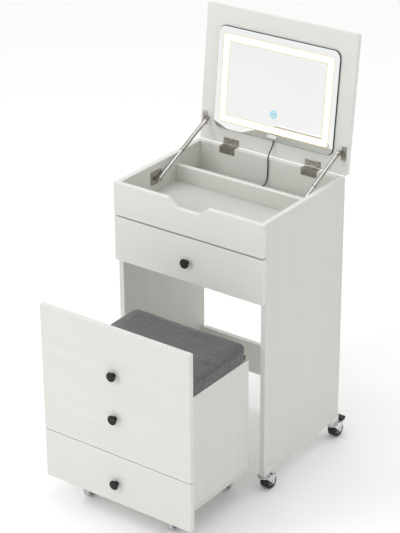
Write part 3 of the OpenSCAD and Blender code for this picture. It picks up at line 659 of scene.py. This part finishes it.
def dress(node, material, bevel, segments=2):
    """A clean copy of a CAD node with softened edges, standing for it."""
    source = frame["nodes"][node]
    bm = bmesh.new()
    bm.from_mesh(source.data)
    bmesh.ops.remove_doubles(bm, verts=bm.verts, dist=1e-6)
    bmesh.ops.dissolve_limit(
        bm, angle_limit=math.radians(0.5), verts=bm.verts, edges=bm.edges, delimit={"NORMAL"}
    )
    piece = new_object("look_" + node, bm, 35)
    modifier = piece.modifiers.new("edges", "BEVEL")
    modifier.width = bevel * MM
    modifier.segments = segments
    modifier.limit_method = "ANGLE"
    modifier.angle_limit = math.radians(40)
    modifier.harden_normals = True
    paint(piece, material)
    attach(piece, source["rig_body"])
    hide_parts(node)


for node in ("front_fascia", "drawer_front", "stool_front_panel", "stool_drawer_front"):
    dress(node, BOARD_FRONT, 1.0, 3)
for node in ("back_panel", "tray_divider", "rear_rail", "stool_back"):
    dress(node, BOARD_FRONT, 0.7, 3)
for node in ("left_side_panel", "right_side_panel", "stool_sides"):
    dress(node, BOARD_SIDE, 0.7, 3)
for node in ("tray_floor", "stool_base", "stool_shelf"):
    dress(node, BOARD_FLAT, 0.6, 3)
dress("lid_board", BOARD_LID, 1.0, 3)
for node in ("drawer_box", "stool_drawer_box"):
    dress(node, BOARD_SHELF, 0.5)
for node in ("hinge_lower_leaves", "strut_wall_brackets", "hinge_lid_leaves", "strut_lid_brackets"):
    dress(node, NICKEL, 0.2)
for node in ("seat_hinge_lower", "seat_hinge_upper"):
    dress(node, NICKEL, 0.2)
for node in ("drawer_runners", "stool_drawer_runners"):
    dress(node, ZINC, 0.25)
for node in ("front_left_fork", "front_right_fork", "rear_left_fork", "rear_right_fork"):
    dress(node, BRIGHT_ZINC, 0.3)
dress("stool_caster_forks", BRIGHT_ZINC, 0.3)
for node in ("carcass_screws", "lid_screws"):
    dress(node, SCREW, 0.06)
for side in ("left", "right"):
    dress(side + "_strut_rod", POLISHED, 0.3)
    dress(side + "_strut_tube", SATIN, 0.3)
    dress(side + "_brake_pedal", BLACK_PLASTIC, 0.5)
dress("caster_sockets", SOCKET, 0.8, 3)
# the seat board in the darker weave, a painted shadow line under the cushion's edge
dress("seat_board", SHADE_WEAVE, 0.8)
dress("mirror_frame", RIM, 0.5)
dress("mirror_glass", MIRROR, 0.6, 3)
dress("mirror_outlet", WHITE_PLASTIC, 0.4, 3)

# ---------- knobs ----------

KNOB_LENGTH = 16


def make_knob(name, body, replaced, board_y, z):
    """A turned knob: flange on the board, narrow neck, and a head with a soft rim and a nearly flat face."""
    flange = [(0, 0), (6.2, 0), (6.5, 0.4), (6.3, 1.2), (5.3, 2.2)]
    neck = [(4.9, 3.5), (4.8, 7.5), (5.7, 9.2), (8.0, 10.3)]
    rim = arc(11.4, 12.5, 2.1, -65, 0, 5) + arc(11.2, 13.5, 2.3, 6, 82, 7)
    face = [(8.6, KNOB_LENGTH - 0.15), (5, KNOB_LENGTH - 0.05), (0, KNOB_LENGTH)]
    bm = bmesh.new()
    place = Vector((0, board_y, z * MM))
    add_lathe(bm, scaled(flange + neck + rim + face), place, (0, -1, 0), 56)
    knob = new_object(name, bm, 50)
    paint(knob, BLACK_PAINT)
    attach(knob, body)
    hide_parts(replaced)


for name, body, node, heights in (
    ("desk_knob", "drawer", "drawer_knob", (627.5,)),
    ("stool_knob", "stool", "stool_knobs", (306, 432.5)),
    ("stool_drawer_pull", "stool_drawer", "stool_drawer_knob", (110.5,)),
):
    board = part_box(node)[1].y
    for height in heights:
        make_knob(f"{name}_{height:g}", body, node, board, height)

# ---------- mirror ----------

MIRROR_S = 43.5  # from the lid's hinge edge to the mirror's lower edge
MIRROR_W, MIRROR_H = 390, 288.5
GLASS_TOP = 5
BAND_FROM_SIDE = 18
BAND_FROM_END = 20.5
BAND_W = 20.5
BAND_CORNER = (7, 3)  # the corner radius at its outer and inner edges


def lid_ring(bm, outer, inner, off, thick):
    """A flat ring between two outlines on the lid."""
    count = len(outer)
    loops = [
        [bm.verts.new(on_lid(x, s, h)) for x, s in outline]
        for outline, h in ((outer, off), (outer, off + thick), (inner, off + thick), (inner, off))
    ]
    for a, b in zip(loops, loops[1:] + loops[:1]):
        for k in range(count):
            n = (k + 1) % count
            bm.faces.new([a[k], a[n], b[n], b[k]])


def band_outline(inset):
    """An outline inside the light band, so far in from the band's outer edge."""
    side, end = BAND_FROM_SIDE + inset, BAND_FROM_END + inset
    outer, inner = BAND_CORNER
    radius = outer - (outer - inner) * inset / BAND_W
    outline = rounded_outline(MIRROR_W - 2 * side, MIRROR_H - 2 * end, radius)
    return [(x, y + MIRROR_S + end) for x, y in outline]


GLOW_EDGE = glow("light_edge", (1.0, 0.70, 0.36), 0.55, (0.60, 0.46, 0.30))
GLOW_NEAR = glow("light_near", (1.0, 0.86, 0.58), 0.9, (0.6, 0.55, 0.45))
GLOW_CORE = glow("light_core", (1.0, 0.97, 0.90), 2.4, (1, 0.98, 0.95))
for name, low, high, material in (
    ("light_band_outer", 0.2, 1.6, GLOW_EDGE),
    ("light_band_outer_soft", 1.6, 3.6, GLOW_NEAR),
    ("light_band_core", 3.6, 16.9, GLOW_CORE),
    ("light_band_inner_soft", 16.9, 18.9, GLOW_NEAR),
    ("light_band_inner", 18.9, 20.3, GLOW_EDGE),
):
    bm = bmesh.new()
    lid_ring(bm, band_outline(low), band_outline(high), GLASS_TOP - 0.55, 0.5)
    ring = new_object(name, bm, 30)
    paint(ring, material)
    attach(ring, "lid")
    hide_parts("led_band")

BUTTON_S = 118
ICON = glow("touch_light", (0.07, 0.50, 0.68), 0.55, (0.05, 0.25, 0.35))
ICON_SOFT = glow("touch_halo", (0.30, 0.72, 0.82), 0.6, (0.3, 0.5, 0.55))


def circle_outline(radius, count=48):
    """A circle around the touch button's middle."""
    turns = [2 * math.pi * k / count for k in range(count)]
    return [(radius * math.cos(a), BUTTON_S + radius * math.sin(a)) for a in turns]


for name, outer, inner, material in (
    ("touch_ring_outer", 11.0, 9.6, ICON),
    ("touch_ring_halo", 9.4, 7.2, ICON_SOFT),
    ("touch_ring_inner", 5.6, 4.2, ICON),
    ("touch_dot", 2.2, 0.4, ICON),
):
    bm = bmesh.new()
    lid_ring(bm, circle_outline(outer), circle_outline(inner), GLASS_TOP + 0.02, 0.25)
    ring = new_object(name, bm, 30)
    paint(ring, material)
    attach(ring, "lid")
    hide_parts("touch_button")

# ---------- wheels ----------

TYRE_T = 8
WHEEL_RIBS = 6  # on each side of a hub


def add_tyre(bm, center, tread_r, hub_r, half):
    """A rounded tread with two fine grooves, and sides that step in at the hub."""
    round_r = 3.0
    profile = [(hub_r, -half + 2.2), (hub_r + 0.7, -half + 0.25)]
    profile += arc(tread_r - round_r, -half + round_r, round_r, -90, 0, 6)
    for groove in (-half * 0.35, half * 0.35):
        profile += [(tread_r, groove - 0.5), (tread_r - 0.45, groove - 0.3), (tread_r - 0.45, groove + 0.3)]
        profile += [(tread_r, groove + 0.5)]
    profile += arc(tread_r - round_r, half - round_r, round_r, 0, 90, 6)
    profile += [(hub_r + 0.7, half - 0.25), (hub_r, half - 2.2), (hub_r, -half + 2.2)]
    add_lathe(bm, scaled(profile), center, (1, 0, 0), 64)


def add_hub(bm, center, hub_r, half):
    """A dished hub with a bore, and ribs on both of its sides."""
    dish = [(3.3, 0.6), (5.6, 0.6), (6.0, 3.4), (hub_r - 1.6, 3.4), (hub_r - 1.2, 1.2), (hub_r - 0.02, 1.4)]
    profile = [(r, -half + depth) for r, depth in dish]
    profile += [(r, half - depth) for r, depth in reversed(dish)]
    add_lathe(bm, scaled(profile + profile[:1]), center, (1, 0, 0), 64)
    for k in range(WHEEL_RIBS):
        turn = Matrix.Rotation(2 * math.pi * k / WHEEL_RIBS, 3, "X")
        for side in (-1, 1):
            rib = bmesh.new()
            x0, x1 = sorted((side * (half - 3.6), side * (half - 1.5)))
            low, high = Vector((x0, 5.2, -0.7)), Vector((x1, hub_r - 1.0, 0.7))
            add_block(rib, low * MM, high * MM, 0.25 * MM)
            for v in rib.verts:
                v.co = center + turn @ v.co
            mesh = bpy.data.meshes.new("rib")
            rib.to_mesh(mesh)
            rib.free()
            bm.from_mesh(mesh)
            bpy.data.meshes.remove(mesh)


def add_rings(bm, center, hub_r, half):
    """A bright ring in the dish of each side of the hub."""
    for side in (-1, 1):
        inner, outer = side * (half - 3.5), side * (half - 1.0)
        profile = [(hub_r - 3.4, inner), (hub_r - 3.4, outer), (hub_r - 2.1, outer), (hub_r - 2.1, inner)]
        add_lathe(bm, scaled(profile + profile[:1]), center, (1, 0, 0), 64)


def make_wheel(node, tread_r, width, tyre_material, hub_material):
    """A wheel around X in three pieces: tyre, hub and bright rings."""
    body = next(b for b, members in frame["record"]["behaviour"]["bodies"].items() if node in members)
    low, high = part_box(node)
    center = (low + high) / 2
    half = width / 2
    hub_r = tread_r - TYRE_T
    tyre, hub, rings = bmesh.new(), bmesh.new(), bmesh.new()
    add_tyre(tyre, center, tread_r, hub_r, half)
    add_hub(hub, center, hub_r, half)
    add_rings(rings, center, hub_r, half)
    for bm, name, material, smooth in (
        (tyre, "_tyre", tyre_material, 40),
        (hub, "_hub", hub_material, 35),
        (rings, "_ring", ZINC, 35),
    ):
        piece = new_object(node + name, bm, smooth)
        paint(piece, material)
        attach(piece, body)
        if name == "_tyre":
            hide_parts(node)


for end in ("front", "rear"):
    for side in ("left", "right"):
        make_wheel(f"{end}_{side}_wheel", 21, 27, TYRE, HUB)
        make_wheel(f"stool_{end}_{side}_wheel", 20, 20, STOOL_TYRE, DARK_HUB)

# ---------- seat cushion ----------

VOXEL = 5
HELD_BAND = 9  # how much of the pad's lower side the seat board holds
CLOTH_FRAMES = 20
PAD_CORNER = 20
PAD_EDGE = 8
PAD_SHY = 0.8  # how far inside its CAD solid the pad starts
PAD_TOP_SHY = 2
PAD_CAP = 5
WELT_R = 1.0
WELT_DOWN = 11  # from the pad's top to the welt


def pad_mesh(low, high, corner, edge):
    """A rounded slab as a closed mesh, its top edge rounded and its underside flat."""
    bm = bmesh.new()
    width, depth = high.x - low.x, high.y - low.y
    middle = (low.x + high.x) / 2
    rows = [(1.2 * MM, low.z), (0, low.z + 1.2 * MM), (0, high.z - edge)]
    for i in range(1, 7):
        a = math.radians(90 * i / 6)
        rows.append((edge * (1 - math.cos(a)), high.z - edge + edge * math.sin(a)))
    loops = []
    for inset, z in rows:
        outline = rounded_outline(width - 2 * inset, depth - 2 * inset, max(corner - inset, 2 * MM), 10)
        loops.append([bm.verts.new(Vector((middle + x, low.y + inset + y, z))) for x, y in outline])
    count = len(loops[0])
    for a, b in zip(loops, loops[1:]):
        for k in range(count):
            n = (k + 1) % count
            bm.faces.new([a[k], a[n], b[n], b[k]])
    bm.faces.new(list(reversed(loops[0])))
    bm.faces.new(loops[-1])
    bmesh.ops.recalc_face_normals(bm, faces=bm.faces)
    return bm


def applied(ob):
    """The object's mesh with its modifiers applied."""
    return bpy.data.meshes.new_from_object(ob.evaluated_get(bpy.context.evaluated_depsgraph_get()))


def inflate(ob, rest, held_below):
    """Where Cloth under pressure moves the mesh's points, with those below a height held."""
    held = ob.vertex_groups.new(name="held")
    held.add([v.index for v in rest.vertices if v.co.z < held_below], 1.0, "REPLACE")
    cloth = ob.modifiers.new("cloth", "CLOTH")
    settings = cloth.settings
    settings.quality = 6
    settings.mass = 0.3
    settings.tension_stiffness = 60
    settings.compression_stiffness = 60
    settings.shear_stiffness = 30
    settings.bending_stiffness = 25
    settings.use_pressure = True
    settings.uniform_pressure_force = 4
    settings.vertex_group_mass = "held"
    settings.effector_weights.gravity = 0
    cloth.point_cache.frame_start = 1
    cloth.point_cache.frame_end = CLOTH_FRAMES
    for number in range(1, CLOTH_FRAMES + 1):
        bpy.context.scene.frame_set(number)
    moved = applied(ob)
    ob.modifiers.clear()
    ob.vertex_groups.clear()
    return np.array([v.co for v in moved.vertices])


def swell(ob, low, cap, limit_low, limit_high):
    """Inflates a pad from its voxel remesh, no point further than the cap, then relaxes and subdivides it."""
    view = bpy.context.view_layer
    remesh = ob.modifiers.new("remesh", "REMESH")
    remesh.mode = "VOXEL"
    remesh.voxel_size = VOXEL * MM
    view.update()
    rest = applied(ob)
    ob.modifiers.clear()
    ob.data = rest
    start = np.array([v.co for v in rest.vertices])
    step = inflate(ob, rest, low.z + HELD_BAND * MM) - start
    far = np.linalg.norm(step, axis=1, keepdims=True)
    end = start + step * np.minimum(1, cap / np.maximum(far, 1e-9))
    end = np.clip(end, np.array(limit_low), np.array(limit_high))
    rest.vertices.foreach_set("co", end.astype(np.float32).ravel())
    bpy.context.scene.frame_set(1)
    rest.update()
    relax = ob.modifiers.new("relax", "SMOOTH")
    relax.factor = 0.5
    relax.iterations = 2
    subdivide = ob.modifiers.new("soften", "SUBSURF")
    subdivide.levels = 1
    subdivide.render_levels = 1
    view.update()
    final = applied(ob)
    ob.modifiers.clear()
    ob.data = final
    final.shade_smooth()


def make_cushion():
    """The padded seat with its cover pulled down round the edge of the seat board."""
    low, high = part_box("seat_cushion")
    wrap_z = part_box("seat_board")[0].z + 0.3 * MM
    shy = PAD_SHY * MM
    pad_low = Vector((low.x + shy, low.y + shy, wrap_z))
    pad_high = Vector((high.x - shy, high.y - shy, high.z - PAD_TOP_SHY * MM))
    bm = pad_mesh(pad_low, pad_high, PAD_CORNER * MM, PAD_EDGE * MM)
    cushion = new_object("cushion", bm, 0)
    low.z = wrap_z
    swell(cushion, pad_low, PAD_CAP * MM, low, high + Vector((0, 0, 2.5)) * MM)
    paint(cushion, HEATHER)
    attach(cushion, "seat")
    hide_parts("seat_cushion")
    return cushion, pad_low, pad_high


cushion, pad_low, pad_high = make_cushion()


def surface_path(ob, z, outline, center):
    """Points on a pad's side at one height, found by looking outwards-in from an outline."""
    tree = BVHTree.FromPolygons(
        [tuple(v.co) for v in ob.data.vertices], [tuple(p.vertices) for p in ob.data.polygons]
    )
    points = []
    for x, y in outline:
        start = Vector((x, y, z))
        inward = (Vector((center.x, center.y, z)) - start).normalized()
        hit, normal, _, _ = tree.ray_cast(start, inward)
        if hit is not None:
            points.append((hit, normal))
    return points


def make_seams():
    """The fine welt that joins the top panel to the sides, in the darker weave as painted shade in that
    crease.
    """
    center = (pad_low + pad_high) / 2
    wide = 30 * MM
    width, depth = pad_high.x - pad_low.x, pad_high.y - pad_low.y
    around = rounded_outline(width + 2 * wide, depth + 2 * wide, 50 * MM, 12)
    outline = [(center.x + x, pad_low.y - wide + y) for x, y in around]
    dense = []
    for (ax, ay), (bx, by) in zip(outline, outline[1:] + outline[:1]):
        parts = max(1, round(math.dist((ax, ay), (bx, by)) / (4 * MM)))
        dense += [(ax + (bx - ax) * i / parts, ay + (by - ay) * i / parts) for i in range(parts)]
    found = surface_path(cushion, pad_high.z - WELT_DOWN * MM, dense, center)
    bm = bmesh.new()
    add_tube(bm, [hit - normal * 0.4 * MM for hit, normal in found], WELT_R * MM, 8, closed=True)
    seam = new_object("cushion_welt", bm, 60)
    paint(seam, SHADE_WEAVE)
    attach(seam, "seat")


make_seams()

# ---------- floor and light ----------


def add_floor():
    """A plain pale floor."""
    bm = bmesh.new()
    bmesh.ops.create_grid(bm, x_segments=1, y_segments=1, size=30)
    floor = new_object("floor", bm, 0)
    shader = Shader("floor", IOR=1.3, Emission_Color=(1, 1, 1, 1), Emission_Strength=0.07)
    cloud = shader.noise(0.6, 2)
    shader.set("Base Color", shader.mix(cloud, (0.93, 0.93, 0.93), (0.945, 0.945, 0.945)))
    shader.set("Roughness", shader.span(cloud, 0, 1, 0.85, 0.95))
    paint(floor, shader.material)


def add_world():
    """A pale studio, a little brighter on the left, with a dark ring between the low panels and the one
    overhead, which the metal parts mirror."""
    world = bpy.data.worlds.new("studio")
    bpy.context.scene.world = world
    world.use_nodes = True
    tree = world.node_tree
    background = tree.nodes["Background"]
    background.inputs["Color"].default_value = (1.0, 1.0, 0.995, 1)
    direction = tree.nodes.new("ShaderNodeTexCoord")
    split = tree.nodes.new("ShaderNodeSeparateXYZ")
    brighter_left = tree.nodes.new("ShaderNodeMapRange")
    for socket, value in (("From Min", -1), ("From Max", 1), ("To Min", 1.36), ("To Max", 0.94)):
        brighter_left.inputs[socket].default_value = value
    panels = tree.nodes.new("ShaderNodeValToRGB")
    stops = ((0.0, 1.0), (0.36, 1.0), (0.48, 0.28), (0.74, 0.28), (0.84, 1.25))
    while len(panels.color_ramp.elements) < len(stops):
        panels.color_ramp.elements.new(0.5)
    for element, (place, level) in zip(panels.color_ramp.elements, stops):
        element.position = place
        element.color = (level, level, level, 1)
    both = tree.nodes.new("ShaderNodeMath")
    both.operation = "MULTIPLY"
    tree.links.new(direction.outputs["Generated"], split.inputs[0])
    tree.links.new(split.outputs["X"], brighter_left.inputs["Value"])
    tree.links.new(split.outputs["Z"], panels.inputs["Fac"])
    tree.links.new(brighter_left.outputs["Result"], both.inputs[0])
    tree.links.new(panels.outputs["Color"], both.inputs[1])
    tree.links.new(both.outputs[0], background.inputs["Strength"])


def add_light(name, place, target, size, watts):
    """A square soft light that looks at a target."""
    data = bpy.data.lights.new(name, "AREA")
    data.shape = "SQUARE"
    data.size = size
    data.energy = watts
    light = bpy.data.objects.new(name, data)
    bpy.context.scene.collection.objects.link(light)
    aim = (Vector(target) - Vector(place)).to_track_quat("-Z", "Y").to_matrix().to_4x4()
    light.matrix_world = Matrix.Translation(place) @ aim


bpy.context.scene.view_settings.view_transform = "Standard"
add_floor()
add_world()
add_light("key", (-1.3, -2.5, 2.1), (-0.05, -0.3, 0.45), 0.9, 17)
add_light("top", (-0.6, 0.6, 4.2), (-0.4, 0.4, 0), 3.0, 24)
